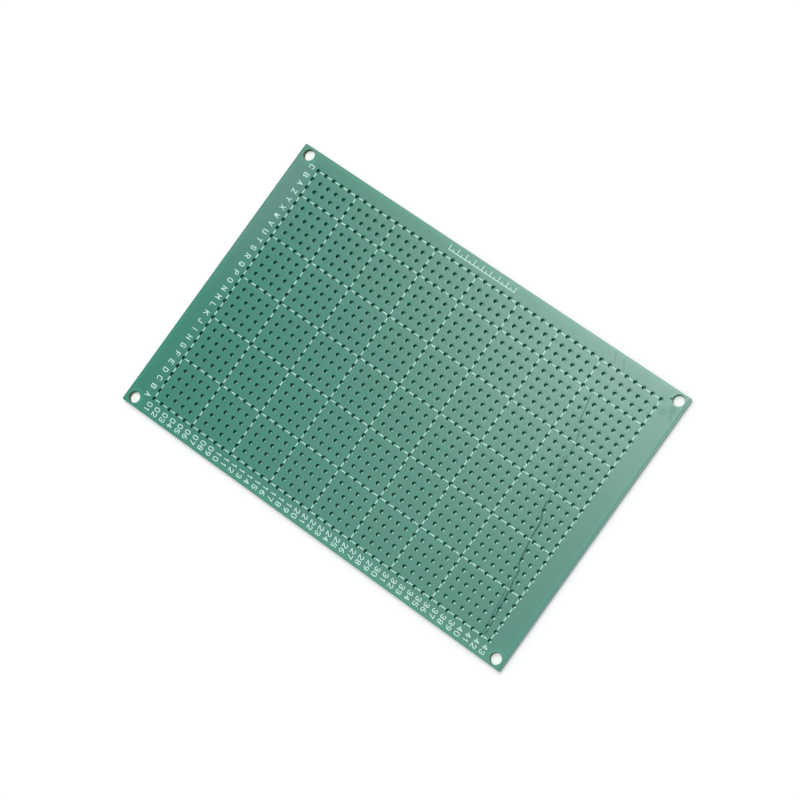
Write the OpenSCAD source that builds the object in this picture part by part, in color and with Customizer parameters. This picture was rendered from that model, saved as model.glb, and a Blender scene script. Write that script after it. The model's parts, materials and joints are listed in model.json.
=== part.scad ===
// Bare prototyping circuit board.
// A laminate sheet carries a regular grid of lead holes, solder mask on both faces,
// a tinned pad round every hole on the underside and a white printed legend on top.
//
// Millimetres. +X runs through the numbered columns, +Y through the lettered rows,
// and +Z comes up out of the printed face. The origin is the middle of the underside.

/* [Hole grid] */
// Number of lead holes along the long side
columns = 43; // [13:1:60]
// Number of lead holes along the short side
rows = 29; // [9:1:52]
// Distance between neighbouring lead holes
pitch = 2.54; // [2.4:0.01:3.2]
// Diameter of a lead hole
lead_hole_d = 1.0; // [0.7:0.05:1.2]

/* [Board] */
// Distance from the first column to the short edge beside it
margin_left = 7.1; // [6:0.01:12]
// Distance from the last column to the short edge beside it
margin_right = 6.22; // [6:0.01:12]
// Distance from the first row to the long edge beside it
margin_bottom = 4.66; // [4.2:0.01:10]
// Distance from the last row to the long edge beside it
margin_top = 4.22; // [4.2:0.01:10]
// Thickness of the bare laminate
core_t = 1.52; // [0.7:0.01:3.2]
// Radius of the board's own corners
edge_r = 0.3; // [0.1:0.05:1]

/* [Corner holes] */
// Diameter of a corner fixing hole
corner_hole_d = 3.0; // [2.2:0.1:3.2]
// Distance from a corner hole's axis to the short edge
corner_inset_x = 2.5; // [2.2:0.1:3.2]
// Distance from a corner hole's axis to the long edge
corner_inset_y = 2.1; // [1.9:0.1:2.4]
// Bare ring that the underside mask leaves round a corner hole
corner_clearance = 0.2; // [0.1:0.01:0.25]

/* [Solder mask] */
// Thickness of the mask on each face
mask_t = 0.04; // [0.02:0.01:0.1]
// Bare ring that the top mask leaves round a hole
mask_clearance = 0.06; // [0.03:0.01:0.15]

/* [Solder pads] */
// Width of the tinned ring round a lead hole
pad_ring_w = 0.5; // [0.3:0.05:0.55]
// Gap between a pad and the underside mask
pad_clearance = 0.05; // [0.02:0.01:0.08]

/* [Legend] */
// Thickness of the printed ink
ink_t = 0.02; // [0.01:0.005:0.05]
// Number of pitches between two dashed lines
cell_pitches = 5; // [4:1:10]
// Fewest pitches in the last cell of a side
least_cell = 3; // [2:1:4]
// Width of a dash
dash_w = 0.28; // [0.15:0.01:0.4]
// Gap between a dash and the rims of the holes it joins
dash_gap = 0.17; // [0.1:0.01:0.3]
// Height of a character over its strokes
char_h = 1.54; // [1.2:0.01:1.7]
// Width of a character over its strokes
char_w = 1.08; // [0.8:0.01:1.2]
// Width of a character's stroke
stroke_w = 0.22; // [0.12:0.01:0.26]
// Gap between the two figures of a column number
char_space = 0.3; // [0.2:0.01:0.5]
// Gap between the characters and the rim of the nearest hole
legend_gap = 0.8; // [0.5:0.05:1]
// First column of the pitch scale
scale_first = 17; // [1:1:20]
// Length of the pitch scale, in pitches
scale_pitches = 8; // [2:1:10]
// Gap between the pitch scale and the rim of the nearest hole
scale_gap = 1.25; // [0.8:0.05:1.3]

/* [Hidden] */

$fn = 48;

// the board's outline and its layers, from the underside up
grid_l = (columns - 1) * pitch;
grid_w = (rows - 1) * pitch;
board_l = grid_l + margin_left + margin_right;
board_w = grid_w + margin_bottom + margin_top;
core_z = mask_t;
top_mask_z = core_z + core_t;
ink_z = top_mask_z + mask_t;

corner_x = board_l / 2 - corner_inset_x;
corner_y = board_w / 2 - corner_inset_y;
pad_d = lead_hole_d + 2 * pad_ring_w;
dash_l = pitch - lead_hole_d - 2 * dash_gap;

// A character is drawn as polylines in a field of 4 by 6 units, from its lower left corner.
FIELD = [4, 6];
LOOP = [[1, 0], [3, 0], [4, 1.2], [4, 4.8], [3, 6], [1, 6], [0, 4.8], [0, 1.2], [1, 0]];
GLYPHS = [
    ["0", [LOOP]],
    ["1", [[[0.8, 4.8], [2, 6], [2, 0]]]],
    ["2", [[[0, 4.8], [1, 6], [3, 6], [4, 4.8], [4, 3.8], [0, 0], [4, 0]]]],
    ["3", [[[0, 5], [1, 6], [3, 6], [4, 5], [4, 4], [3, 3], [4, 2], [4, 1], [3, 0], [1, 0], [0, 1]],
           [[3, 3], [1.4, 3]]]],
    ["4", [[[3, 0], [3, 6], [0, 2], [4, 2]]]],
    ["5", [[[4, 6], [0.4, 6], [0, 3.4], [3, 3.4], [4, 2.4], [4, 1], [3, 0], [1, 0], [0, 1]]]],
    ["6", [[[3.4, 6], [1.6, 5.4], [0, 3], [0, 1], [1, 0], [3, 0], [4, 1], [4, 2.2], [3, 3.2],
            [0.2, 3.2]]]],
    ["7", [[[0, 6], [4, 6], [1.4, 0]]]],
    ["8", [[[1, 3], [0, 4], [0, 5], [1, 6], [3, 6], [4, 5], [4, 4], [3, 3], [4, 2], [4, 1], [3, 0],
            [1, 0], [0, 1], [0, 2], [1, 3], [3, 3]]]],
    ["9", [[[0.6, 0], [2.4, 0.6], [4, 3], [4, 5], [3, 6], [1, 6], [0, 5], [0, 3.8], [1, 2.8],
            [3.8, 2.8]]]],
    ["A", [[[0, 0], [2, 6], [4, 0]], [[0.8, 2.2], [3.2, 2.2]]]],
    ["B", [[[0, 3], [3, 3], [4, 4], [4, 5], [3, 6], [0, 6], [0, 0], [3, 0], [4, 1], [4, 2], [3, 3]]]],
    ["C", [[[4, 1], [3, 0], [1, 0], [0, 1], [0, 5], [1, 6], [3, 6], [4, 5]]]],
    ["D", [[[0, 0], [0, 6], [2.6, 6], [4, 4.6], [4, 1.4], [2.6, 0], [0, 0]]]],
    ["E", [[[4, 0], [0, 0], [0, 6], [4, 6]], [[0, 3], [3.2, 3]]]],
    ["F", [[[0, 0], [0, 6], [4, 6]], [[0, 3], [3.2, 3]]]],
    ["G", [[[4, 5], [3, 6], [1, 6], [0, 5], [0, 1], [1, 0], [3, 0], [4, 1], [4, 2.8], [2.2, 2.8]]]],
    ["H", [[[0, 0], [0, 6]], [[4, 0], [4, 6]], [[0, 3], [4, 3]]]],
    ["I", [[[2, 0], [2, 6]]]],
    ["J", [[[3.4, 6], [3.4, 1], [2.4, 0], [1, 0], [0, 1]]]],
    ["K", [[[0, 0], [0, 6]], [[4, 6], [0, 2.2]], [[1.4, 3.4], [4, 0]]]],
    ["L", [[[0, 6], [0, 0], [4, 0]]]],
    ["M", [[[0, 0], [0, 6], [2, 2.6], [4, 6], [4, 0]]]],
    ["N", [[[0, 0], [0, 6], [4, 0], [4, 6]]]],
    ["O", [LOOP]],
    ["P", [[[0, 0], [0, 6], [3, 6], [4, 5], [4, 3.8], [3, 2.8], [0, 2.8]]]],
    ["Q", [LOOP, [[2.4, 1.8], [4, 0]]]],
    ["R", [[[0, 0], [0, 6], [3, 6], [4, 5], [4, 3.8], [3, 2.8], [0, 2.8]], [[2, 2.8], [4, 0]]]],
    ["S", [[[4, 5], [3, 6], [1, 6], [0, 5], [0, 4], [1, 3], [3, 3], [4, 2], [4, 1], [3, 0], [1, 0],
            [0, 1]]]],
    ["T", [[[0, 6], [4, 6]], [[2, 6], [2, 0]]]],
    ["U", [[[0, 6], [0, 1], [1, 0], [3, 0], [4, 1], [4, 6]]]],
    ["V", [[[0, 6], [2, 0], [4, 6]]]],
    ["W", [[[0, 6], [1, 0], [2, 4], [3, 0], [4, 6]]]],
    ["X", [[[0, 0], [4, 6]], [[0, 6], [4, 0]]]],
    ["Y", [[[0, 6], [2, 3], [4, 6]], [[2, 3], [2, 0]]]],
    ["Z", [[[0, 6], [4, 6], [0, 0], [4, 0]]]],
];
ALPHABET = 26;

// Place of a column and of a row, counted from 0
function col_x(i) = i * pitch + margin_left - board_l / 2;
function row_y(j) = j * pitch + margin_bottom - board_w / 2;

// Indices of the dashed lines across count holes: every cell_pitches, and the last hole
function line_indices(count) =
    [for (i = [0 : count - 1])
        if (i == count - 1 || (i % cell_pitches == 0 && count - 1 - i >= least_cell)) i];

// Polylines of one character, and its label for a row or a column
function strokes_of(c) = [for (g = GLYPHS) if (g[0] == c) g[1]][0];
function row_label(j) = chr(ord("A") + j % ALPHABET);
function column_label(i) = i + 1 < 10 ? str("0", i + 1) : str(i + 1);

module at_lead_holes() {
    for (i = [0 : columns - 1], j = [0 : rows - 1])
        translate([col_x(i), row_y(j)]) children();
}

module at_corners() {
    for (sx = [-1, 1], sy = [-1, 1])
        translate([sx * corner_x, sy * corner_y]) children();
}

// The board's rectangle with its corners rounded
module outline() {
    square([board_l - 2 * edge_r, board_w], center = true);
    square([board_l, board_w - 2 * edge_r], center = true);
    for (sx = [-1, 1], sy = [-1, 1])
        translate([sx * (board_l / 2 - edge_r), sy * (board_w / 2 - edge_r)]) circle(edge_r);
}

// A sheet of the board's outline with its lead and corner holes
module perforated_sheet(thickness, hole_d, corner_d) {
    linear_extrude(thickness)
        difference() {
            outline();
            at_lead_holes() circle(d = hole_d);
            at_corners() circle(d = corner_d);
        }
}

// A character's polyline in millimetres, centred on the character
function placed(line) =
    [for (p = line)
        [(p[0] / FIELD[0] - 0.5) * (char_w - stroke_w), (p[1] / FIELD[1] - 0.5) * (char_h - stroke_w)]];

// Tangent of half the turn from direction a to direction b
function half_turn(a, b) = abs(cross(a, b)) / (norm(a) * norm(b) + a * b);

// How far a stroke runs past point k of its line: to a mitred corner, or to a square end
function overrun(line, k) =
    let (last = len(line) - 1,
         closed = line[0] == line[last],
         before = k > 0 ? line[k - 1] : closed ? line[last - 1] : undef,
         after = k < last ? line[k + 1] : closed ? line[1] : undef,
         mitre = before == undef || after == undef ? 1 : half_turn(line[k] - before, after - line[k]))
    min(mitre, 1) * stroke_w / 2;

// The stroke of a line that ends at its point k
module stroke(line, k) {
    run = line[k] - line[k - 1];
    translate(line[k - 1])
        rotate(atan2(run[1], run[0]))
            translate([-overrun(line, k - 1), -stroke_w / 2])
                square([overrun(line, k - 1) + norm(run) + overrun(line, k), stroke_w]);
}

// One printed character, centred, with its top towards +X
module character(c) {
    linear_extrude(ink_t)
        rotate(-90)
            for (drawn = strokes_of(c), k = [1 : len(drawn) - 1])
                stroke(placed(drawn), k);
}

module laminate() {
    color([0.66, 0.65, 0.42])
        translate([0, 0, core_z])
            perforated_sheet(core_t, lead_hole_d, corner_hole_d);
}

module top_mask() {
    color([0.30, 0.56, 0.49])
        translate([0, 0, top_mask_z])
            perforated_sheet(mask_t, lead_hole_d + 2 * mask_clearance, corner_hole_d + 2 * mask_clearance);
}

module bottom_mask() {
    color([0.27, 0.52, 0.45])
        perforated_sheet(mask_t, pad_d + 2 * pad_clearance, corner_hole_d + 2 * corner_clearance);
}

// The pads lie flush with the underside mask, in its openings
module solder_pads() {
    color([0.78, 0.79, 0.80])
        at_lead_holes()
            linear_extrude(mask_t)
                difference() {
                    circle(d = pad_d);
                    circle(d = lead_hole_d);
                }
}

// Dashed lines along both directions, with one dash between each two holes of a line
module grid_lines() {
    color([0.88, 0.96, 0.92])
        translate([0, 0, ink_z]) {
            for (j = line_indices(rows), i = [0 : columns - 2])
                translate([col_x(i + 0.5), row_y(j), ink_t / 2])
                    cube([dash_l, dash_w, ink_t], center = true);
            for (i = line_indices(columns), j = [0 : rows - 2])
                translate([col_x(i), row_y(j + 0.5), ink_t / 2])
                    cube([dash_w, dash_l, ink_t], center = true);
        }
}

module row_letters() {
    letter_x = col_x(0) - lead_hole_d / 2 - legend_gap - char_h / 2;
    color([0.88, 0.96, 0.92])
        for (j = [0 : rows - 1])
            translate([letter_x, row_y(j), ink_z]) character(row_label(j));
}

module column_numbers() {
    first_y = row_y(0) - lead_hole_d / 2 - legend_gap - char_w / 2;
    color([0.88, 0.96, 0.92])
        for (i = [0 : columns - 1], k = [0, 1])
            translate([col_x(i), first_y - k * (char_w + char_space), ink_z])
                character(column_label(i)[k]);
}

// A plain scale beside the last row, with a long tick at each column and a short one between
module pitch_scale() {
    scale_y = row_y(rows - 1) + lead_hole_d / 2 + scale_gap;
    scale_x = col_x(scale_first - 1);
    color([0.88, 0.96, 0.92])
        translate([scale_x, scale_y, ink_z])
            linear_extrude(ink_t) {
                translate([-stroke_w / 2, 0])
                    square([scale_pitches * pitch + stroke_w, stroke_w]);
                for (k = [0 : 2 * scale_pitches])
                    translate([k * pitch / 2 - stroke_w / 2, 0])
                        square([stroke_w, k % 2 == 0 ? char_h : char_h / 2]);
            }
}

laminate();
top_mask();
bottom_mask();
solder_pads();
grid_lines();
row_letters();
column_numbers();
pitch_scale();
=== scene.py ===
"""Bare prototyping board: its finishes, its printed legend and its studio.

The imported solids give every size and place. The sheets, the pads and the dashes repeat one hole,
one ring or one stroke over the same grid, so Geometry Nodes make them from the board's plan. The
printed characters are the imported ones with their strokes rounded.

Lengths in the meshes are metres. Patterns in the materials are laid out in millimetres from the
middle of the board, with +X through the numbered columns and +Y through the lettered rows.
"""

import json
import logging
import math
from collections.abc import Iterable
from dataclasses import dataclass
from enum import Enum
from functools import cached_property, reduce
from typing import Any, Union

import bmesh
import bpy
from bpy.types import Material, NodeSocket, Object
from mathutils import Matrix, Vector


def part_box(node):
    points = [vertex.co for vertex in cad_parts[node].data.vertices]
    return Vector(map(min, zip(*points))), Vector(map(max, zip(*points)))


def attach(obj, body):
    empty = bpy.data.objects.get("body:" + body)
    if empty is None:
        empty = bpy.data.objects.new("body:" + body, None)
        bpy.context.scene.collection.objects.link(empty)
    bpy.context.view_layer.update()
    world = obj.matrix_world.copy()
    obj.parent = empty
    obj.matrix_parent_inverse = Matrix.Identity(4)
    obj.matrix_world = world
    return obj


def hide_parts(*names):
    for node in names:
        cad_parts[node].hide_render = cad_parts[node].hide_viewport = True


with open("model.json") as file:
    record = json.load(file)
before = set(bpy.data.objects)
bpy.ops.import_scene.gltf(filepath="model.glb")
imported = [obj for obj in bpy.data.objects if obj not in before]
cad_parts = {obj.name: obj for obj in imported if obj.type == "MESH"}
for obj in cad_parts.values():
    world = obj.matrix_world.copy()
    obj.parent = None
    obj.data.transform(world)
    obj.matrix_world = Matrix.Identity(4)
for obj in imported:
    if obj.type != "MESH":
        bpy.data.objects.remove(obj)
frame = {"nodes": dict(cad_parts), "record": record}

LOG = logging.getLogger("board")
ROOT = "root"
MM = 0.001
WELD = 1e-6  # points closer than this, in metres, become one
WHITE = (1.0, 1.0, 1.0)

Named = dict[str | int, Any]
Colour = tuple[float, float, float]
Number = Union["Signal", float, int]


# ---------------- node trees


class Signal:
    """An output socket of a node tree. Arithmetic on it adds Math nodes."""

    def __init__(self, graph: "Graph", socket: NodeSocket) -> None:
        """Wrap a socket of the graph's tree."""
        self.graph = graph
        self.socket = socket

    def math(self, operation: str, *others: Number) -> "Signal":
        """Apply a Math node to this signal and to its second value, if it has one."""
        return self.graph.math(operation, self, *others)

    def __add__(self, other: Number) -> "Signal":
        """Sum."""
        return self.math("ADD", other)

    __radd__ = __add__

    def __sub__(self, other: Number) -> "Signal":
        """Difference."""
        return self.math("SUBTRACT", other)

    def __rsub__(self, other: Number) -> "Signal":
        """Difference from a plain number."""
        return self.graph.math("SUBTRACT", other, self)

    def __mul__(self, other: Number) -> "Signal":
        """Product."""
        return self.math("MULTIPLY", other)

    __rmul__ = __mul__

    def __truediv__(self, other: Number) -> "Signal":
        """Quotient."""
        return self.math("DIVIDE", other)

    def __rtruediv__(self, other: Number) -> "Signal":
        """Quotient of a plain number."""
        return self.graph.math("DIVIDE", other, self)

    def __abs__(self) -> "Signal":
        """Absolute value."""
        return self.math("ABSOLUTE")

    def __lt__(self, other: Number) -> "Signal":
        """1 where this signal is the smaller, else 0."""
        return self.math("LESS_THAN", other)

    def __gt__(self, other: Number) -> "Signal":
        """1 where this signal is the larger, else 0."""
        return self.math("GREATER_THAN", other)


class Graph:
    """A node tree under construction, for a material, the world or Geometry Nodes."""

    def __init__(self, tree: bpy.types.NodeTree) -> None:
        """Start on an empty tree."""
        self.tree = tree

    @classmethod
    def of(cls, owner: Material | bpy.types.World) -> "Graph":
        """Start on the emptied tree of a material or the world.

        Args:
            owner: the material or the world.

        Returns:
            The empty graph.
        """
        owner.use_nodes = True
        owner.node_tree.nodes.clear()
        return cls(owner.node_tree)

    @staticmethod
    def pick(sockets: Any, key: str | int) -> NodeSocket:
        """Find an input or an output of a node by its number, identifier or name."""
        same = (socket for socket in sockets if socket.identifier == key)
        return sockets[key] if isinstance(key, int) else next(same, None) or sockets[key]

    def feed(self, socket: NodeSocket, value: Any) -> None:
        """Link an input or set its value.

        Args:
            socket: the input.
            value: a signal, a list of signals, a colour or the socket's own kind of value.
        """
        if isinstance(value, Signal):
            self.tree.links.new(value.socket, socket)
        elif isinstance(value, list):
            for part in value:
                self.tree.links.new(part.socket, socket)
        elif socket.type == "RGBA":
            socket.default_value = (*value, 1.0)
        else:
            socket.default_value = value

    def node(
        self, kind: str, settings: Named | None = None, inputs: Named | None = None, output: str | int = 0
    ) -> Signal:
        """Add a node.

        Args:
            kind: the node's type.
            settings: its properties by name, set before its sockets, where "stops" fills a ramp.
            inputs: values or signals by their sockets' identifiers, names or numbers.
            output: the output wanted.

        Returns:
            That output.
        """
        made = self.tree.nodes.new(kind)
        for name, value in (settings or {}).items():
            if name == "stops":
                self.fill_ramp(made.color_ramp, value)
            else:
                setattr(made, name, value)
        for name, value in (inputs or {}).items():
            self.feed(self.pick(made.inputs, name), value)
        return Signal(self, self.pick(made.outputs, output))

    def end(self, kind: str, result: Signal) -> None:
        """Add the tree's last node and link the result to its first input."""
        self.feed(self.tree.nodes.new(kind).inputs[0], result)

    @staticmethod
    def fill_ramp(ramp: bpy.types.ColorRamp, stops: Iterable[tuple[float, float]]) -> None:
        """Give a ramp its grey stops.

        Args:
            ramp: a new ramp, which has two stops.
            stops: each stop's place and level, in rising order of place.
        """
        for number, (place, level) in enumerate(stops):
            if number < 2:
                stop = ramp.elements[number]
                stop.position = place
            else:
                stop = ramp.elements.new(place)
            stop.color = (level, level, level, 1.0)

    def math(self, operation: str, *values: Number) -> Signal:
        """Add a Math node on values of which at least one is a signal."""
        return self.node("ShaderNodeMath", {"operation": operation}, dict(enumerate(values)))

    def vector(self, x: Number, y: Number, z: Number) -> Signal:
        """Combine three values."""
        return self.node("ShaderNodeCombineXYZ", inputs={0: x, 1: y, 2: z})

    def split(self, vector: Signal) -> tuple[Signal, Signal, Signal]:
        """Separate a vector into its three values."""
        outputs = self.node("ShaderNodeSeparateXYZ", inputs={0: vector}).socket.node.outputs
        return Signal(self, outputs[0]), Signal(self, outputs[1]), Signal(self, outputs[2])

    def stretch(self, vector: Signal, factors: tuple[float, float, float]) -> Signal:
        """Multiply a vector by one factor along each axis."""
        return self.node("ShaderNodeVectorMath", {"operation": "MULTIPLY"}, {0: vector, 1: factors})

    def tint(self, factor: Number, plain: Signal | Colour, tinted: Signal | Colour) -> Signal:
        """Mix two colours, where a factor of 0 gives the plain one."""
        return self.node(
            "ShaderNodeMix",
            {"data_type": "RGBA"},
            {"Factor_Float": factor, "A_Color": plain, "B_Color": tinted},
            "Result_Color",
        )

    def noise(self, place: Signal, grain: float, detail: float = 2.0) -> Signal:
        """Noise from about 0 to 1, whose largest blotches are a grain in size."""
        inputs = {"Vector": place, "Scale": 1 / grain, "Detail": detail}
        return self.node("ShaderNodeTexNoise", inputs=inputs)

    def millimetres(self) -> Signal:
        """The piece's own coordinates, in millimetres."""
        place = self.node("ShaderNodeTexCoord", output="Object")
        return self.stretch(place, (1 / MM, 1 / MM, 1 / MM))

    def bump(self, height: Signal, depth: float) -> Signal:
        """A normal from a height of 0 to 1 that stands for a depth in metres."""
        inputs = {"Strength": 1.0, "Distance": depth, "Height": height}
        return self.node("ShaderNodeBump", inputs=inputs)

    def principled(
        self, colour: Signal, roughness: Signal, normal: Signal, fixed: dict[str, float] | None = None
    ) -> Signal:
        """A principled shader from what varies over the surface and from fixed values."""
        inputs = {"Base Color": colour, "Roughness": roughness, "Normal": normal} | (fixed or {})
        return self.node("ShaderNodeBsdfPrincipled", inputs=inputs)


def length_of(a: Signal, b: Signal) -> Signal:
    """Length of the vector with these two values."""
    return (a * a + b * b).math("SQRT")


def strongest(*effects: Signal) -> Signal:
    """The greatest of several effects."""
    return reduce(lambda one, other: one.math("MAXIMUM", other), effects)


@dataclass(frozen=True)
class Band:
    """How an effect eases out with distance."""

    full: float  # distance at which it starts to ease out
    end: float  # distance at which nothing is left of it, which may be the smaller
    strength: float = 1.0  # of the effect where it is whole

    def at(self, distance: Signal) -> Signal:
        """The effect at a distance."""
        span = {"From Min": self.full, "From Max": self.end, "To Min": self.strength, "To Max": 0.0}
        return distance.graph.node(
            "ShaderNodeMapRange", {"interpolation_type": "SMOOTHSTEP"}, span | {"Value": distance}
        )


PATCHY = Band(0.62, 0.38)  # turns noise into patches of 0 and 1 with soft edges


# ---------------- the board's plan


@dataclass(frozen=True)
class Plan:
    """Sizes and places that the pieces share, in metres."""

    length: float  # of the board along X
    width: float  # of the board along Y
    outline_radius: float  # of the board's own corners
    columns: int  # number of lead holes along X
    rows: int  # number of lead holes along Y
    pitch: float  # between neighbouring lead holes
    grid_x: float  # middle of the lead holes' grid along X
    grid_y: float  # the same along Y
    lead_radius: float  # of a lead hole
    corner_x: float  # distance of a corner hole's axis from the board's middle, along X
    corner_y: float  # the same along Y
    corner_radius: float  # of a corner hole

    @classmethod
    def packed(cls, columns: int, rows: int, outline_radius: float) -> "Plan":
        """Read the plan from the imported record.

        Args:
            columns: number of lead holes along X.
            rows: number of lead holes along Y.
            outline_radius: of the board's own corners.

        Returns:
            The plan.
        """
        low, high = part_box("laminate")
        mounts = {mount["name"]: mount for mount in frame["record"]["mounts"]}
        first, last = (Vector(mounts[f"lead_hole_{end}"]["pos_m"]) for end in ("first", "last"))
        corners = mounts["corner_holes"]["dims"]
        return cls(
            length=high.x - low.x,
            width=high.y - low.y,
            outline_radius=outline_radius,
            columns=columns,
            rows=rows,
            pitch=(last.x - first.x) / (columns - 1),
            grid_x=(first.x + last.x) / 2,
            grid_y=(first.y + last.y) / 2,
            lead_radius=mounts["lead_hole_first"]["dims"]["r_mm"] * MM,
            corner_x=corners["spacing_x_mm"] * MM / 2,
            corner_y=corners["spacing_y_mm"] * MM / 2,
            corner_radius=corners["hole_r_mm"] * MM,
        )


class Spot:
    """A place on the board as a shader finds it, in millimetres."""

    def __init__(self, graph: Graph, plan: Plan) -> None:
        """Read the piece's own coordinates, which start in the board's middle.

        Args:
            graph: the material's graph.
            plan: the board's plan.
        """
        self.graph = graph
        self.plan = plan
        self.place = graph.millimetres()
        self.x, self.y, self.z = graph.split(self.place)

    @cached_property
    def grid_x(self) -> Signal:
        """Place along X from the middle of the lead holes' grid."""
        return self.x - self.plan.grid_x / MM

    @cached_property
    def grid_y(self) -> Signal:
        """The same along Y."""
        return self.y - self.plan.grid_y / MM

    def noise(self, grain: float, detail: float = 2.0) -> Signal:
        """Noise through the whole piece."""
        return self.graph.noise(self.place, grain, detail)

    def face_noise(self, grain: float, detail: float = 2.0) -> Signal:
        """Noise over a face, from the grid's middle."""
        return self.graph.noise(self.graph.vector(self.grid_x, self.grid_y, 0), grain, detail)

    def from_lead_hole(self) -> tuple[Signal, Signal]:
        """Place relative to the nearest lead hole's axis.

        Returns:
            The signed distances along X and along Y.
        """
        plan, found = self.plan, []
        pitch = plan.pitch / MM
        for place, count in ((self.grid_x, plan.columns), (self.grid_y, plan.rows)):
            steps = place / pitch + (count - 1) / 2
            nearest = steps.math("ROUND").math("MAXIMUM", 0).math("MINIMUM", count - 1)
            found.append((steps - nearest) * pitch)
        return found[0], found[1]

    def past_lead_holes(self) -> Signal:
        """Distance outwards from the outer lead holes' axes.

        Returns:
            The distance, which is negative between them.
        """
        ends = (self.grid_x, self.plan.columns), (self.grid_y, self.plan.rows)
        half = self.plan.pitch / MM / 2
        return strongest(*(abs(place) - (count - 1) * half for place, count in ends))

    def from_corner_hole(self) -> Signal:
        """Distance from the nearest corner hole's axis."""
        plan = self.plan
        return length_of(abs(self.x) - plan.corner_x / MM, abs(self.y) - plan.corner_y / MM)

    def from_edge(self) -> Signal:
        """Distance from the board's nearest edge."""
        across = self.plan.length / MM / 2 - abs(self.x)
        return across.math("MINIMUM", self.plan.width / MM / 2 - abs(self.y))


# ---------------- generated meshes


def add_object(name: str, data: bpy.types.ID) -> Object:
    """Make an object from its data.

    Args:
        name: the object's name.
        data: its mesh, camera or light.

    Returns:
        The object, at the origin of the scene.
    """
    made = bpy.data.objects.new(name, data)
    bpy.context.scene.collection.objects.link(made)
    return made


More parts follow.
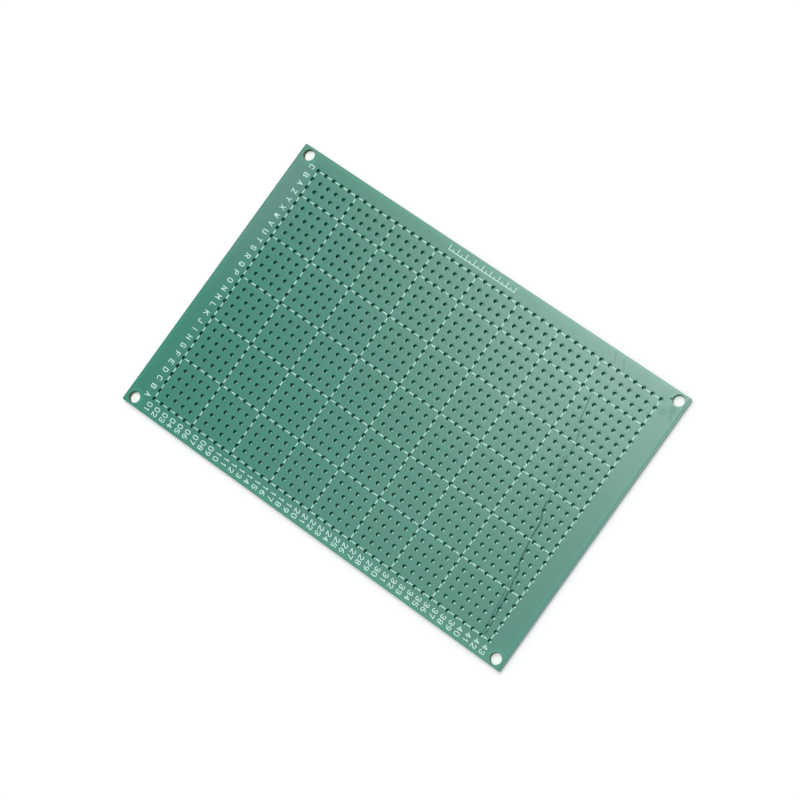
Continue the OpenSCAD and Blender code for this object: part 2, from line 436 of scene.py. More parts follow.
class Generator:
    """A Geometry Nodes tree with named inputs, for a piece that repeats over the lead holes."""

    SOCKETS = {
        float: "NodeSocketFloat",
        int: "NodeSocketInt",
        Material: "NodeSocketMaterial",
    }

    def __init__(self, name: str, plan: Plan) -> None:
        """Start a tree that has its output and the inputs of the lead holes' grid.

        Args:
            name: the piece's name.
            plan: the board's plan.
        """
        self.name = name
        self.tree = bpy.data.node_groups.new(name, "GeometryNodeTree")
        self.tree.interface.new_socket("Mesh", in_out="OUTPUT", socket_type="NodeSocketGeometry")
        self.graph = Graph(self.tree)
        self.entry = self.tree.nodes.new("NodeGroupInput")
        self.values: dict[str, Any] = {}
        self.pitch = self.given("Pitch", plan.pitch)
        self.columns, self.rows = self.given("Columns", plan.columns), self.given("Rows", plan.rows)
        self.middle = self.given("Grid X", plan.grid_x), self.given("Grid Y", plan.grid_y)

    def given(self, name: str, value: float | int | Material) -> Signal:
        """Add a named input.

        Args:
            name: what the input sets.
            value: what this piece sets it to.

        Returns:
            The input as a signal.
        """
        kind = next(k for t, k in self.SOCKETS.items() if isinstance(value, t))
        socket = self.tree.interface.new_socket(name, in_out="INPUT", socket_type=kind)
        self.values[socket.identifier] = value
        return Signal(self.graph, Graph.pick(self.entry.outputs, socket.identifier))

    def position(self) -> tuple[Signal, Signal, Signal]:
        """Each point's own x, y and z."""
        return self.graph.split(self.graph.node("GeometryNodeInputPosition"))

    def rectangle(self, length: Signal, width: Signal) -> Signal:
        """The outline of a rectangle."""
        inputs = {"Width": length, "Height": width}
        return self.graph.node("GeometryNodeCurvePrimitiveQuadrilateral", inputs=inputs)

    def circle(self, radius: Signal, sides: Signal) -> Signal:
        """A circle as a polygon."""
        inputs = {"Resolution": sides, "Radius": radius}
        return self.graph.node("GeometryNodeCurvePrimitiveCircle", inputs=inputs)

    def rounded(self, outline: Signal, radius: Signal, steps: Signal) -> Signal:
        """An outline with each of its corners rounded in a number of steps."""
        inputs = {0: outline, "Count": steps, "Radius": radius}
        return self.graph.node("GeometryNodeFilletCurve", {"mode": "POLY"}, inputs)

    def lattice(self, span_x: Number, span_y: Number, count_x: Number, count_y: Number) -> Signal:
        """Points in rows round the origin, from their spans and numbers along X and along Y."""
        inputs = {"Size X": span_x, "Size Y": span_y, "Vertices X": count_x, "Vertices Y": count_y}
        return self.graph.node("GeometryNodeMeshGrid", inputs=inputs)

    def lead_holes(self) -> Signal:
        """A point for each lead hole, round the origin."""
        spans = (self.columns - 1) * self.pitch, (self.rows - 1) * self.pitch
        return self.lattice(*spans, self.columns, self.rows)

    def on_grid(self, geometry: Signal, height: Number = 0) -> Signal:
        """Geometry moved from the origin to the middle of the lead holes."""
        return self.moved(geometry, *self.middle, height)

    def joined(self, *parts: Signal) -> Signal:
        """Several geometries as one."""
        return self.graph.node("GeometryNodeJoinGeometry", inputs={0: list(parts)})

    def welded(self, mesh: Signal) -> Signal:
        """A mesh without double points."""
        inputs = {0: mesh, "Distance": WELD}
        return self.graph.node("GeometryNodeMergeByDistance", inputs=inputs)

    def moved(self, geometry: Signal, x: Number, y: Number, z: Number) -> Signal:
        """Geometry moved along the three axes."""
        inputs = {0: geometry, "Translation": self.graph.vector(x, y, z)}
        return self.graph.node("GeometryNodeTransform", inputs=inputs)

    def copies(self, points: Signal, shape: Signal, **fields: Signal) -> Signal:
        """Real copies of a shape on points, with a Selection, a Rotation or a Scale for them."""
        inputs = {"Points": points, "Instance": shape, **fields}
        return self.real(self.graph.node("GeometryNodeInstanceOnPoints", inputs=inputs))

    def real(self, geometry: Signal) -> Signal:
        """Geometry whose instances are made real."""
        return self.graph.node("GeometryNodeRealizeInstances", inputs={0: geometry})

    def filled(self, *outlines: Signal) -> Signal:
        """The flat face in closed curves, of which inner ones are holes."""
        curves = self.joined(*outlines)
        return self.graph.node("GeometryNodeFillCurve", {"mode": "TRIANGLES"}, {0: curves})

    def shaded(self, mesh: Signal, smooth: bool, **where: Signal) -> Signal:
        """A mesh whose faces, or those of a Selection, are shaded smooth or flat."""
        inputs = {0: mesh, "Shade Smooth": smooth, **where}
        return self.graph.node("GeometryNodeSetShadeSmooth", inputs=inputs)

    def slab(self, face: Signal, base: Signal, thickness: Signal, smooth: Number) -> Signal:
        """Raise a flat face to a closed slab.

        Args:
            face: the face, without double points.
            base: height of the slab's underside.
            thickness: its thickness.
            smooth: 1 on the walls that are shaded smooth.

        Returns:
            The slab.
        """
        face = self.shaded(self.moved(face, 0, 0, base), False)
        inputs = {"Mesh": face, "Offset": self.graph.vector(0, 0, 1), "Offset Scale": thickness}
        raised = self.graph.node("GeometryNodeExtrudeMesh", inputs=inputs | {"Individual": False})
        wall = Signal(self.graph, raised.socket.node.outputs["Side"])
        raised = self.shaded(raised, True, Selection=wall * smooth)
        under = self.graph.node("GeometryNodeFlipFaces", inputs={0: face})
        return self.welded(self.joined(under, raised))

    def make(self, geometry: Signal, material: Material) -> Object:
        """End the tree, run it and keep its mesh.

        Args:
            geometry: what the tree ends with.
            material: the piece's finish.

        Returns:
            A new object with the plain mesh, at the origin.
        """
        inputs = {0: self.real(geometry), "Material": self.given("Finish", material)}
        self.graph.end("NodeGroupOutput", self.graph.node("GeometryNodeSetMaterial", inputs=inputs))
        host = add_object(self.name + "_host", bpy.data.meshes.new(self.name + "_host"))
        modifier = host.modifiers.new(self.name, "NODES")
        modifier.node_group = self.tree
        for identifier, value in self.values.items():
            modifier[identifier] = value
        evaluated = host.evaluated_get(bpy.context.evaluated_depsgraph_get())
        mesh = bpy.data.meshes.new_from_object(evaluated)
        host.modifiers.remove(modifier)
        bpy.data.objects.remove(host)
        mesh.name = self.name
        return add_object(self.name, mesh)


# ---------------- finishes


@dataclass(frozen=True)
class Finish:
    """A surface finish. Each kind says how its nodes make the surface."""

    name: str  # of its material

    def material(self) -> Material:
        """Build the finish's material.

        Returns:
            The material.
        """
        made = bpy.data.materials.new(self.name)
        graph = Graph.of(made)
        graph.end("ShaderNodeOutputMaterial", self.surface(graph))
        return made

    def surface(self, graph: Graph) -> Signal:
        """The finish's shader, in the material's graph."""
        raise NotImplementedError


@dataclass(frozen=True)
class Scratch:
    """A scratch that runs down the board, with sizes in millimetres."""

    path: tuple[tuple[float, float], ...]  # its bends from the grid's middle, from the lowest y up
    width: float = 0.2  # of its dark line
    strength: float = 1.0  # 1 for a scratch through the gloss, less for a faint one
    least: float = 0.65  # share of the strength that is left where it is faintest
    grain: float = 1.1  # length of its fainter stretches

    def mark(self, spot: Spot) -> Signal:
        """Where the scratch is.

        Args:
            spot: a place on the face.

        Returns:
            The scratch's strength on its line, falling to 0 beside it.
        """
        (_, bottom), (_, top) = self.path[0], self.path[-1]
        left = min(bend_x for bend_x, _ in self.path)
        reach = max(bend_x for bend_x, _ in self.path) - left
        stops = [((by - bottom) / (top - bottom), (bx - left) / reach) for bx, by in self.path]
        along = (spot.grid_y - bottom) / (top - bottom)
        bends = spot.graph.node("ShaderNodeValToRGB", {"stops": stops}, {"Fac": along})
        line = Band(self.width / 4, self.width).at(abs(spot.grid_x - bends * reach - left))
        tail = self.width / (top - bottom)
        ends = Band(0.5 - 2 * tail, 0.5 + tail).at(abs(along - 0.5))
        whole = PATCHY.at(spot.face_noise(self.grain)) * (1 - self.least) + self.least
        return line * ends * whole * self.strength


@dataclass(frozen=True)
class FilmPatch:
    """A patch on the film, with sizes in millimetres; dull smudges and pale patches of painted reflection
    both use it.
    """

    x: float  # place along X, from the middle of the lead holes' grid
    y: float  # the same along Y
    radius: float  # of the spot along X
    strength: float  # 1 for a spot that hides the film, less for a faint one
    stretch: float = 1.0  # how many times longer it is along Y
    outline: Band = Band(0.3, 1.1)  # how it eases out, in radii
    ragged: float = 0.8  # how far its outline strays, in radii

    def mark(self, spot: Spot) -> Signal:
        """Where the patch is.

        Args:
            spot: a place on the face.

        Returns:
            The smudge's strength, falling to 0 round it.
        """
        away = length_of(spot.grid_x - self.x, (spot.grid_y - self.y) / self.stretch)
        stray = (spot.face_noise(self.radius, detail=3.0) - 0.5) * self.ragged
        return self.outline.at(away / self.radius + stray) * self.strength


@dataclass(frozen=True)
class SolderMask(Finish):
    """Solder mask over laminate: semi-gloss, thinner at every edge and hole, and lighter at the board's
    edge and the corner holes with painted light scattered in there.

    Distances are in millimetres. Heights and depths are shares of the relief.
    """

    plan: Plan
    body: Colour  # where the film is full
    thin: Colour  # where it runs thin; at the board's edge and the corner holes it also stands for painted scattered light
    shade: Colour  # painted shade at the foot of a scratch and in the scored line; also the dark of smudges and along the board's edge
    roughness: float  # of the film
    wear: tuple[Scratch | FilmPatch, ...] = ()  # scratches and dark smudges on this face
    painted_reflections: tuple[FilmPatch, ...] = ()  # pale patches of painted reflection on it
    # colour of the painted reflection
    reflection_colour: Colour = (0.27, 0.30, 0.32)
    score: float = 0.0  # distance from the last short edge to a scored line, or 0 for none
    score_line: Band = Band(0.02, 0.15, 0.45)  # how the scored line's groove shows as painted shade
    thin_and_lit_edge: Band = Band(0.6, 1.8, 0.46)  # how the film thins towards the board's edge, with painted scattered light there
    thin_and_lit_corner: Band = Band(2.0, 3.1, 0.55)  # the same towards a corner hole's axis
    thin_lead: Band = Band(0.62, 0.86, 0.22)  # how the film thins towards a lead hole's axis
    dark_edge: Band = Band(0.1, 0.4, 0.1)  # how the film darkens along the board's edge
    rolled_edge: Band = Band(0.0, 0.5)  # how the film's surface falls towards the board's edge
    rolled_lead: Band = Band(0.56, 1.0)  # the same towards a lead hole's axis
    deepest: Colour = (0.82, 0.90, 0.90)  # share of the body's colour where the film is deepest
    clouds: float = 0.5  # how much the broad patches deepen the film
    flecks: float = 0.12  # how much the fine ones do
    gloss_range: float = 0.06  # how much the roughness varies
    peel: float = 0.1  # height of the film's fine ripple
    cloth: float = 0.04  # height of the glass cloth that shows through
    yarn: float = 0.9  # distance between the cloth's yarns
    wear_depth: float = 0.5  # of a scratch
    wear_dulling: float = 0.5  # roughness that wear adds
    relief: float = 0.01 * MM  # height from the film's rolled rims to its surface, in metres

    def surface(self, graph: Graph) -> Signal:
        """Colour, gloss and relief of the film.

        Args:
            graph: the material's graph.

        Returns:
            The shader.
        """
        spot = Spot(graph, self.plan)
        edge, corner = spot.from_edge(), spot.from_corner_hole()
        lead = length_of(*spot.from_lead_hole())
        cloud, fleck = spot.noise(14.0, detail=3.0), spot.noise(0.9)

        deep = tuple(level * share for level, share in zip(self.body, self.deepest))
        colour = graph.tint(cloud * self.clouds + fleck * self.flecks, self.body, deep)
        # thinner film; at the board's edge and the corner holes also painted scattered light
        thinned_and_lit = self.thin_and_lit_edge.at(edge), self.thin_and_lit_corner.at(corner), self.thin_lead.at(lead)
        colour = graph.tint(strongest(*thinned_and_lit), colour, self.thin)
        colour = graph.tint(self.dark_edge.at(edge), colour, self.shade)

        height = fleck * self.peel + self.weave(spot) * self.cloth
        height = height - self.rolled_lead.at(lead) - self.rolled_edge.at(edge)
        gloss = (spot.noise(5.0) - 0.5) * self.gloss_range + self.roughness
        # pale patches of painted reflection, tinted into the colour
        for reflection_patch in self.painted_reflections:
            colour = graph.tint(reflection_patch.mark(spot), colour, self.reflection_colour)
        found = [mark.mark(spot) for mark in self.wear] + self.scored(spot)
        if found:
            worn = strongest(*found)
            # scratches, smudges and the scored line darken the film, with painted shade at a scratch's
            # foot and in the scored line
            colour = graph.tint(worn, colour, self.shade)
            height = height - worn * self.wear_depth
            gloss = gloss + worn * self.wear_dulling
        return graph.principled(colour, gloss, graph.bump(height, self.relief))

    def weave(self, spot: Spot) -> Signal:
        """Faint relief of the glass cloth under the film, from 0 to 1."""
        turns = 2 * math.pi / self.yarn
        return (spot.x * turns).math("SINE") * (spot.y * turns).math("SINE") * 0.5 + 0.5

    def scored(self, spot: Spot) -> list[Signal]:
        """Where the scored line is, or nothing on a face without it."""
        line = (self.plan.length / 2 - self.plan.grid_x) / MM - self.score
        return [self.score_line.at(abs(spot.grid_x - line))] if self.score else []


@dataclass(frozen=True)
class GlassEpoxy(Finish):
    """Bare glass-fibre laminate: cut plies round the outside, painted shade in the lead holes, dark olive
    walls in the corner holes.

    Distances are in millimetres.
    """

    plan: Plan
    cut: Colour  # of the cut edges
    resin: Colour  # of the seams between plies
    bore_shade: Colour  # the laminate darkened with painted shade, in the lead holes
    corner_bore: Colour  # in the corner holes
    corner_wall: Band = Band(2.0, 2.2)  # where the corner holes' colour shows, from their axes
    outer_wall: Band = Band(0.3, 0.4)  # where the cut edges' colour shows, from the board's edge
    ply: float = 0.19  # thickness of a ply
    wander: float = 3.0  # how far the yarns push the seams, in radians of a ply
    relief: float = 0.02 * MM  # height of the fibre ends, in metres

    def surface(self, graph: Graph) -> Signal:
        """Plies and fibre ends, darker inside the holes: painted shade in the lead holes, a dark olive in
        the corner holes.

        Args:
            graph: the material's graph.

        Returns:
            The shader.
        """
        spot = Spot(graph, self.plan)
        yarn = graph.noise(graph.stretch(spot.place, (1.0, 1.0, 7.0)), 0.7, detail=3.0)
        seam = (spot.z * (2 * math.pi / self.ply) + yarn * self.wander).math("SINE") * 0.5 + 0.5
        cut = graph.tint(seam * 0.45 + yarn * 0.3, self.cut, self.resin)
        reamed = self.corner_wall.at(spot.from_corner_hole())
        # painted shade in the lead holes, the walls' own olive in the corner holes
        bore_shade = graph.tint(reamed, self.bore_shade, self.corner_bore)
        colour = graph.tint(self.outer_wall.at(spot.from_edge()), bore_shade, cut)
        normal = graph.bump(seam * 0.5 + yarn, self.relief)
        return graph.principled(colour, yarn * 0.2 + 0.55, normal, {"Specular IOR Level": 0.2})


@dataclass(frozen=True)
class Tin(Finish):
    """Tinned copper: bright satin metal with soft ripples and a little tarnish."""

    bright: Colour  # of clean metal
    dull: Colour  # of tarnished metal
    tarnish: float = 0.7  # share of the dull colour in the worst patches
    relief: float = 0.01 * MM  # height of the ripples, in metres

    def surface(self, graph: Graph) -> Signal:
        """Metal with a rippled surface.

        Args:
            graph: the material's graph.

        Returns:
            The shader.
        """
        place = graph.millimetres()
        patch = graph.noise(place, grain=6.0)
        ripple = graph.noise(place, grain=0.45)
        colour = graph.tint(patch * self.tarnish, self.bright, self.dull)
        normal = graph.bump(ripple, self.relief)
        return graph.principled(colour, ripple * 0.2 + 0.24, normal, {"Metallic": 1.0})


@dataclass(frozen=True)
class LegendInk(Finish):
    """Screen-printed white ink, a little thin in places."""

    full: Colour  # where the ink is full
    thin: Colour  # where the mask shows through it
    cover: float = 0.5  # share of the full colour that the thin places lack
    relief: float = 0.002 * MM  # height of the screen's marks, in metres

    def surface(self, graph: Graph) -> Signal:
        """Matte ink with faint mesh marks.

        Args:
            graph: the material's graph.

        Returns:
            The shader.
        """
        screen = graph.noise(graph.millimetres(), grain=0.35)
        colour = graph.tint(PATCHY.at(screen) * self.cover, self.thin, self.full)
        return graph.principled(colour, screen * 0.15 + 0.45, graph.bump(screen, self.relief))


# ---------------- the board's pieces


@dataclass
class Board:
    """The laminate with the mask on both of its faces, all pierced by the same holes."""

    plan: Plan
    hole_sides: int = 24  # sides of a lead hole's circle
    corner_sides: int = 48  # sides of a corner hole's circle
    outline_steps: int = 4  # steps round each of the outline's corners
    mask_clearance: float = 0.06 * MM  # bare ring that the top mask leaves round a hole
    pad_ring: float = 0.5 * MM  # width of a solder pad's ring
    pad_clearance: float = 0.05 * MM  # gap between a pad and the underside mask
    corner_clearance: float = 0.2 * MM  # bare ring that the underside mask leaves round a corner hole

    def sheet(self, node: str, lead_bare: float, corner_bare: float, finish: Finish) -> Object:
        """One perforated sheet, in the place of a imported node.

        Args:
            node: the node that it stands for.
            lead_bare: bare ring that it leaves round each lead hole.
            corner_bare: bare ring that it leaves round each corner hole.
            finish: its finish.

        Returns:
            The sheet.
        """
        plan, (low, high) = self.plan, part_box(node)
        made = Generator(node + "_sheet", plan)
        given = made.given
        length, width = given("Length", plan.length), given("Width", plan.width)
        radius = given("Outline Radius", plan.outline_radius)
        steps = given("Outline Steps", self.outline_steps)
        outline = made.rounded(made.rectangle(length, width), radius, steps)
        lead_radius = given("Lead Radius", plan.lead_radius + lead_bare)
        hole = made.circle(lead_radius, given("Lead Sides", self.hole_sides))
        cell = made.filled(made.rectangle(made.pitch, made.pitch), hole)
        cells = made.on_grid(made.copies(made.lead_holes(), cell))
        border = made.on_grid(self.cell_border(made))
        corners = self.corners(made, plan.corner_radius + corner_bare)
        surround = made.filled(outline, corners, border)
        face = made.welded(made.joined(cells, surround))
        x, y, _ = made.position()
        inside = (abs(x) < length * 0.5 - radius) * (abs(y) < width * 0.5 - radius)
        slab = made.slab(face, given("Base", low.z), given("Thickness", high.z - low.z), inside)
        return made.make(slab, finish.material())

    @staticmethod
    def cell_border(made: Generator) -> Signal:
        """The outline of the square cells together, with a point at each one's corner.

        Args:
            made: the sheet's generator.

        Returns:
            The closed curve.
        """
        pitch, columns, rows = made.pitch, made.columns, made.rows
        cells = made.lattice(columns * pitch, rows * pitch, columns + 1, rows + 1)
        # an edge of the outline has one face beside it, and an inner one has two
        outer = made.graph.node("GeometryNodeInputMeshEdgeNeighbors") < 1.5
        return made.graph.node("GeometryNodeMeshToCurve", inputs={0: cells, "Selection": outer})

    def corners(self, made: Generator, radius: float) -> Signal:
        """The circles of the four corner holes.

        Args:
            made: the sheet's generator.
            radius: of a circle.

        Returns:
            The circles.
        """
        given, plan = made.given, self.plan
        spans = given("Corner Span X", 2 * plan.corner_x), given("Corner Span Y", 2 * plan.corner_y)
        hole = made.circle(given("Corner Radius", radius), given("Corner Sides", self.corner_sides))
        return made.copies(made.lattice(*spans, 2, 2), hole)

    def laminate(self, finish: Finish) -> Object:
        """The bare sheet."""
        return self.sheet("laminate", 0.0, 0.0, finish)

    def top_mask(self, finish: Finish) -> Object:
        """The mask on the printed face."""
        return self.sheet("top_mask", self.mask_clearance, self.mask_clearance, finish)

    def bottom_mask(self, finish: Finish) -> Object:
        """The mask on the underside, open round each pad."""
        pad = self.pad_ring + self.pad_clearance
        return self.sheet("bottom_mask", pad, self.corner_clearance, finish)


@dataclass
class Pads:
    """The tinned ring round each lead hole, with its edges rolled off."""

    plan: Plan
    ring: float  # width of the ring
    roll: float = 0.07 * MM  # width of the slope at each of its edges
    sides: int = 16  # of its circle

    def make(self, finish: Finish) -> Object:
        """All pads as one piece.

        Args:
            finish: their finish.

        Returns:
            The pads.
        """
        low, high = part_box("solder_pads")
        made = Generator("solder_pad_rings", self.plan)
        graph, given = made.graph, made.given
        half, thickness = given("Half Ring", self.ring / 2), given("Thickness", high.z - low.z)
        flat = half - given("Roll", self.roll)
        corners = (
            graph.vector(half, thickness * -1, 0),
            graph.vector(flat, 0, 0),
            graph.vector(flat * -1, 0, 0),
            graph.vector(half * -1, thickness * -1, 0),
        )
        section = graph.node(
            "GeometryNodeCurvePrimitiveQuadrilateral",
            {"mode": "POINTS"},
            {f"Point {number}": corner for number, corner in enumerate(corners, 1)},
        )
        radius = given("Middle Radius", self.plan.lead_radius + self.ring / 2)
        inputs = {"Curve": made.circle(radius, given("Sides", self.sides)), "Profile Curve": section}
        ring = graph.node("GeometryNodeCurveToMesh", inputs=inputs)
        rings = made.on_grid(made.copies(made.lead_holes(), ring), given("Base", low.z))
        return made.make(rings, finish.material())


class Run(Enum):
    """The direction that a dashed line runs in."""

    ALONG_ROWS = "rows"
    ALONG_COLUMNS = "columns"


@dataclass
class Legend:
    """The printed grid and characters."""

    plan: Plan
    cell: int = 5  # number of pitches between two dashed lines
    least_cell: int = 3  # fewest pitches in the last cell of a side
    dash_width: float = 0.28 * MM  # of a dash
    dash_gap: float = 0.17 * MM  # between a dash and the rims of its holes
    dash_corner: float = 0.1 * MM  # radius of a dash's corners
    corner_steps: int = 2  # steps round a dash's or a stroke's corner
    wobble: float = 0.012  # most that a dash turns either way, in radians
    smallest: tuple[float, float, float] = (0.93, 0.80, 1.0)  # least share of its three sizes
    largest: tuple[float, float, float] = (1.03, 1.0, 1.0)  # the greatest share
    stroke_corner: float = 0.07 * MM  # radius of the corners of a character's strokes
    flat: float = math.radians(1)  # bend below which two faces are taken as one, in radians
    sharp: float = math.radians(15)  # bend above which an edge is a stroke's corner, in radians
    seed: int = 7  # of the small differences between dashes

    def grid_lines(self, finish: Finish) -> Object:
        """All dashes as one piece, each a little different as print is.

        Args:
            finish: the ink.

        Returns:
            The dashes.
        """
        low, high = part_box("grid_lines")
        made = Generator("grid_line_dashes", self.plan)
        given, plan = made.given, self.plan
        length = given("Dash Length", plan.pitch - 2 * (plan.lead_radius + self.dash_gap))
        outline = made.rectangle(length, given("Dash Width", self.dash_width))
        radius, steps = given("Dash Corner", self.dash_corner), given("Corner Steps", self.corner_steps)
        dash = made.filled(made.rounded(outline, radius, steps))
        dash = made.slab(dash, given("Base", low.z), given("Ink", high.z - low.z), 0)
        cell, least = given("Cell Pitches", self.cell), given("Least Cell", self.least_cell)
        seed = given("Seed", self.seed)
        lines = made.joined(*(self.line_set(made, run, dash, cell, least, seed) for run in Run))
        return made.make(made.on_grid(lines), finish.material())

    def line_set(
        self, made: Generator, run: Run, dash: Signal, cell: Signal, least: Signal, seed: Signal
    ) -> Signal:
        """The dashed lines that run in one direction.

        Args:
            made: the piece's generator.
            run: the direction.
            dash: one dash that lies along X.
            cell: number of pitches between two lines.
            least: fewest pitches in the last cell.
            seed: of the differences between dashes.

        Returns:
            The dashes.
        """
        graph, pitch, first = made.graph, made.pitch, run is Run.ALONG_ROWS
        along, across = ("x", "y") if first else ("y", "x")
        holes = {"x": made.columns, "y": made.rows}
        count = {along: holes[along] - 1, across: holes[across]}
        span = {axis: (number - 1) * pitch for axis, number in count.items()}
        points = made.lattice(span["x"], span["y"], count["x"], count["y"])
        # whole numbers are compared with a half to spare
        place = dict(zip("xyz", made.position()))[across]
        line = ((place + span[across] * 0.5) / pitch).math("ROUND")
        left = count[across] - 1 - line
        regular = (line.math("MODULO", cell) < 0.5) * (left > least - 0.5)
        chosen = strongest(regular, left < 0.5)
        turn, seed = (0.0, seed + 0) if first else (math.pi / 2, seed + 1)
        angle = graph.node(
            "FunctionNodeRandomValue",
            {"data_type": "FLOAT"},
            {"Min_001": turn - self.wobble, "Max_001": turn + self.wobble, "Seed": seed},
            "Value_001",
        )
        size = graph.node(
            "FunctionNodeRandomValue",
            {"data_type": "FLOAT_VECTOR"},
            {"Min": self.smallest, "Max": self.largest, "Seed": seed},
        )
        rotation = graph.vector(0, 0, angle)
        return made.copies(points, dash, Selection=chosen, Rotation=rotation, Scale=size)

    def characters(self, node: str, finish: Finish) -> Object:
        """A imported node's print with the corners of its strokes rounded.

        Args:
            node: the node.
            finish: the ink.

        Returns:
            The rounded print.
        """
        shape = bmesh.new()
        shape.from_mesh(frame["nodes"][node].data)
        bmesh.ops.remove_doubles(shape, verts=shape.verts, dist=WELD / 10)
        bmesh.ops.dissolve_limit(shape, angle_limit=self.flat, verts=shape.verts, edges=shape.edges)
        bmesh.ops.bevel(
            shape,
            geom=[edge for edge in shape.edges if self.is_corner(edge)],
            offset=self.stroke_corner,
            offset_type="OFFSET",
            segments=self.corner_steps,
            profile=0.5,
            affect="EDGES",
            clamp_overlap=True,
        )
        bmesh.ops.triangulate(shape, faces=shape.faces)
        mesh = bpy.data.meshes.new(node + "_print")
        shape.to_mesh(mesh)
        shape.free()
        mesh.materials.append(finish.material())
        return add_object(node + "_print", mesh)

    def is_corner(self, edge: bmesh.types.BMEdge) -> bool:
        """Whether an edge stands upright where two strokes' sides meet.

        Args:
            edge: an edge of the print.

        Returns:
            True for such an edge.
        """
        run = edge.verts[0].co - edge.verts[1].co
        upright = abs(run.z) > 0.5 * run.length
        return upright and len(edge.link_faces) == 2 and edge.calc_face_angle() > self.sharp


# ---------------- studio and camera


@dataclass(frozen=True)
class Viewpoint:
    """Where the camera stands and how it is turned."""

    aim: tuple[float, float] = (0.30 * MM, -0.18 * MM)  # point of the face that it looks at, in metres
    distance: float = 0.5948  # from there to the lens
    bearing: float = -8.371  # direction of the camera from there, in degrees from +X towards +Y
    height: float = 72.291  # its angle above the board, in degrees
    roll: float = 46.444  # turn about its own line of sight, in degrees
    lens: float = 108.533  # focal length in millimetres
    nearest: float = 0.01  # least distance that it sees, in metres
    farthest: float = 20.0  # greatest distance that it sees

    def make(self, face_z: float) -> None:
        """Make the camera and give it to the scene.

        Args:
            face_z: height of the printed face.
        """
        data = bpy.data.cameras.new("camera")
        data.lens = self.lens
        data.clip_start = self.nearest
        data.clip_end = self.farthest
        stand = Matrix.Translation((*self.aim, face_z))
        for turn, axis in ((90 + self.bearing, "Z"), (90 - self.height, "X"), (-self.roll, "Z")):
            stand @= Matrix.Rotation(math.radians(turn), 4, axis)
        camera = add_object("camera", data)
        camera.matrix_world = stand @ Matrix.Translation((0, 0, self.distance))
        bpy.context.scene.camera = camera


@dataclass(frozen=True)
class Lamp:
    """A square soft lamp that faces the board."""

    name: str  # what it is
    place: tuple[float, float, float]  # in metres from the board's middle
    width: float  # of its face
    level: float  # brightness of its face, where 1 is a lit white surface's own

    def make(self) -> None:
        """Hang the lamp."""
        data = bpy.data.lights.new(self.name, "AREA")
        data.shape = "SQUARE"
        data.size = self.width
        data.energy = self.level * math.pi * self.width**2
        lamp = add_object(self.name, data)
        lamp.location = self.place
        lamp.rotation_mode = "QUATERNION"
        lamp.rotation_quaternion = Vector(self.place).to_track_quat("Z", "Y")


@dataclass(frozen=True)
class FloorPaper(Finish):
    """Pale paper under the board, with light that the camera and gloss see on it, tinted green under the
    holes with painted bounce light from the board.

    Distances are in millimetres.
    """

    GLOW_RAYS = ("Camera", "Glossy", "Transmission")

    plan: Plan
    level: float = 0.85  # share of the light that it scatters
    glow: float = 0.18  # light added beside the board
    far_glow: Band = Band(1500.0, 150.0, 0.3)  # more of it far off, where the lamps light it less
    corner_glow: float = 0.18  # more of it under the corner holes
    corner_bounce_tint: Colour = (0.93, 1.0, 0.965)  # green tint of the paper and its glow there, painted bounce light from the board
    corner_spot: Band = Band(1.6, 2.2)  # where there is, from a corner hole's axis
    grid_bounce_tint: Colour = (0.55, 0.95, 0.82)  # green tint of the paper and its glow under the lead holes, painted bounce light from their walls
    past_grid: Band = Band(1.5, 1.0)  # where that ends, from the outer holes' axes outwards
    shaft: Band = Band(0.38, 0.6, 0.62)  # light through a lead hole, from its middle on the floor
    shaft_x: float = 0.20  # place of that middle from the hole's axis along X
    shaft_y: float = -0.30  # the same along Y

    def surface(self, graph: Graph) -> Signal:
        """Scattered light and the glow together.

        Args:
            graph: the material's graph.

        Returns:
            The shader.
        """
        spot = Spot(graph, self.plan)
        beside = self.past_grid.at(spot.past_lead_holes())
        corner = self.corner_spot.at(spot.from_corner_hole())
        # white paper, tinted with painted green bounce light under the lead holes and the corner holes
        tone = graph.tint(beside, self.grid_bounce_tint, graph.tint(corner, WHITE, self.corner_bounce_tint))
        hole_x, hole_y = spot.from_lead_hole()
        lit = self.shaft.at(length_of(hole_x - self.shaft_x, hole_y - self.shaft_y))
        added = corner * self.corner_glow + self.far_glow.at(length_of(spot.x, spot.y)) + self.glow
        strength = self.seen(graph) * (beside * added + (1 - beside) * lit)
        scattered = graph.stretch(tone, (self.level, self.level, self.level))
        paper = graph.node("ShaderNodeBsdfDiffuse", inputs={"Color": scattered})
        glow = graph.node("ShaderNodeEmission", inputs={"Color": tone, "Strength": strength})
        return graph.node("ShaderNodeAddShader", inputs={0: paper, 1: glow})

    def seen(self, graph: Graph) -> Signal:
        """1 for a ray from the camera, a mirror or a clear piece, else 0."""
        rays = graph.node("ShaderNodeLightPath").socket.node.outputs
        return strongest(*(Signal(graph, rays[f"Is {kind} Ray"]) for kind in self.GLOW_RAYS))


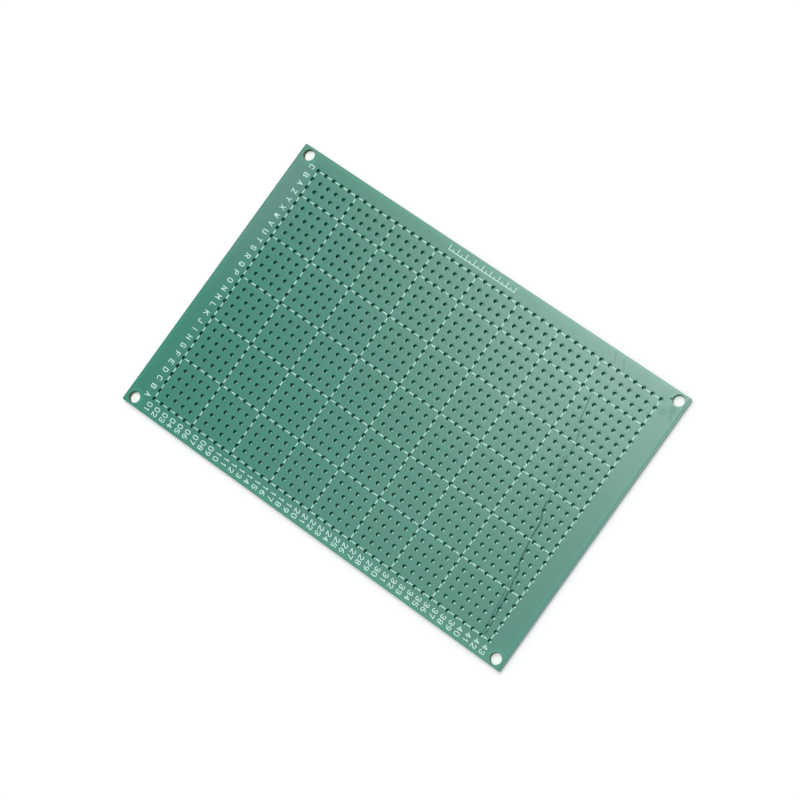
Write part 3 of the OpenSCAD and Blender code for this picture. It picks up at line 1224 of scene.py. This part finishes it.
@dataclass
class Studio:
    """A pale floor and soft light from above."""

    paper: FloorPaper
    lamps: tuple[Lamp, ...]
    sky: float = 0.592  # light from all round, where 1 is white
    floor_size: float = 6.0  # side of the floor, in metres
    floor_gap: float = 0.02 * MM  # between the floor and the board's underside

    def make(self) -> None:
        """Build the floor, the sky and the lamps."""
        self.make_floor()
        self.make_sky()
        for lamp in self.lamps:
            lamp.make()
        bpy.context.scene.view_settings.view_transform = "Standard"

    def make_floor(self) -> None:
        """A flat pale sheet that the board lies on."""
        half = self.floor_size / 2
        mesh = bpy.data.meshes.new("floor")
        corners = [(-half, -half, 0), (half, -half, 0), (half, half, 0), (-half, half, 0)]
        mesh.from_pydata(corners, [], [(0, 1, 2, 3)])
        mesh.materials.append(self.paper.material())
        floor = add_object("floor", mesh)
        floor.location.z = -self.floor_gap

    def make_sky(self) -> None:
        """Even light from all round, which looks white itself."""
        world = bpy.data.worlds.new("sky")
        graph = Graph.of(world)
        camera = graph.node("ShaderNodeLightPath", output="Is Camera Ray")
        inputs = {"Color": WHITE, "Strength": camera * (1.0 - self.sky) + self.sky}
        graph.end("ShaderNodeOutputWorld", graph.node("ShaderNodeBackground", inputs=inputs))
        bpy.context.scene.world = world


# ---------------- the scene


SCRATCHES = (
    Scratch(
        ((51.6, -35.0), (51.1, -31.2), (50.1, -23.2), (49.5, -20.3), (49.2, -17.6))
        + ((48.2, -16.5), (47.0, -9.7), (46.7, -5.1), (45.5, -2.9), (44.9, 0.0)),
        width=0.28,
    ),
    Scratch(((51.0, -35.0), (50.4, -31.8), (49.8, -26.5), (48.9, -21.2)), strength=0.85),
    Scratch(
        ((45.2, 0.2), (44.6, 3.7), (43.8, 7.0), (42.7, 9.3), (42.6, 14.0), (41.3, 19.3)),
        width=0.18,
        strength=0.55,
    ),
    Scratch(((43.6, 5.2), (42.3, 7.9), (41.9, 11.4)), width=0.18, strength=0.5),
    Scratch(((40.1, 19.3), (39.6, 22.3), (38.5, 27.3)), width=0.18, strength=0.6),
    Scratch(((38.8, 36.7), (37.4, 39.3)), width=0.16, strength=0.3),
    Scratch(((42.0, 35.8), (40.2, 38.7)), width=0.16, strength=0.3),
    Scratch(((47.0, -30.3), (46.4, -29.1)), width=0.16, strength=0.4),
    Scratch(((49.4, -34.9), (49.2, -33.5)), width=0.16, strength=0.4),
)
SMUDGES = (
    FilmPatch(55.3, 37.1, radius=0.34, strength=1.0),
    FilmPatch(57.2, 35.1, radius=1.5, strength=0.14),
    FilmPatch(55.3, 33.3, radius=1.3, strength=0.12),
    FilmPatch(57.8, 33.0, radius=0.9, strength=0.10),
)
# a pale patch of painted reflection on the left margin
PAINTED_REFLECTION = (FilmPatch(-62.4, 22.8, radius=11.5, strength=0.16, stretch=2.6),)
LAMPS = (
    Lamp("key", place=(-0.205, 0.307, 0.908), width=0.357, level=5.52),
    Lamp("overhead", place=(0.0, 0.0, 0.766), width=0.444, level=1.54),
    Lamp("inner_key", place=(-0.136, 0.194, 0.971), width=0.2, level=4.23),
    Lamp("left_card", place=(-0.390, 0.163, 0.906), width=0.12, level=2.95),
    Lamp("low_card", place=(-0.304, -0.057, 0.951), width=0.12, level=1.66),
)


def settle(piece: Object, node: str) -> None:
    """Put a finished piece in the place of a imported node.

    Args:
        piece: the piece.
        node: the node that it stands for.
    """
    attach(piece, ROOT)
    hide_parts(node)
    LOG.info("%s: %d faces, stands for %s", piece.name, len(piece.data.polygons), node)


def main() -> None:
    """Build the pieces, dress them and light them."""
    logging.basicConfig(level=logging.INFO, format="%(message)s")
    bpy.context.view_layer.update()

    plan = Plan.packed(columns=43, rows=29, outline_radius=0.3 * MM)
    board, legend = Board(plan), Legend(plan)
    laminate = GlassEpoxy(
        "glass_epoxy",
        plan,
        cut=(0.31, 0.44, 0.45),
        resin=(0.21, 0.31, 0.30),
        # painted shade in the lead holes
        bore_shade=(0.006, 0.16, 0.10),
        corner_bore=(0.10, 0.16, 0.07),
    )
    printed_face = SolderMask(
        "green_mask_top",
        plan,
        body=(0.028, 0.217, 0.152),
        thin=(0.035, 0.29, 0.19),
        shade=(0.006, 0.09, 0.065),
        roughness=0.235,
        wear=SCRATCHES + SMUDGES,
        painted_reflections=PAINTED_REFLECTION,
        score=0.45,
    )
    underside = SolderMask(
        "green_mask_bottom",
        plan,
        body=(0.045, 0.19, 0.13),
        thin=(0.05, 0.24, 0.15),
        shade=(0.02, 0.12, 0.08),
        roughness=0.42,
    )
    tin = Tin("tinned_copper", bright=(0.80, 0.80, 0.78), dull=(0.60, 0.60, 0.57))
    ink = LegendInk("white_ink", full=(0.72, 0.95, 0.89), thin=(0.48, 0.76, 0.68))

    settle(board.laminate(laminate), "laminate")
    settle(board.top_mask(printed_face), "top_mask")
    settle(board.bottom_mask(underside), "bottom_mask")
    settle(Pads(plan, board.pad_ring).make(tin), "solder_pads")
    settle(legend.grid_lines(ink), "grid_lines")
    for node in ("row_letters", "column_numbers", "pitch_scale"):
        settle(legend.characters(node, ink), node)

    Studio(FloorPaper("pale_floor", plan), LAMPS).make()
    Viewpoint().make(face_z=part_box("top_mask")[1].z)


if __name__ == "__main__":
    main()
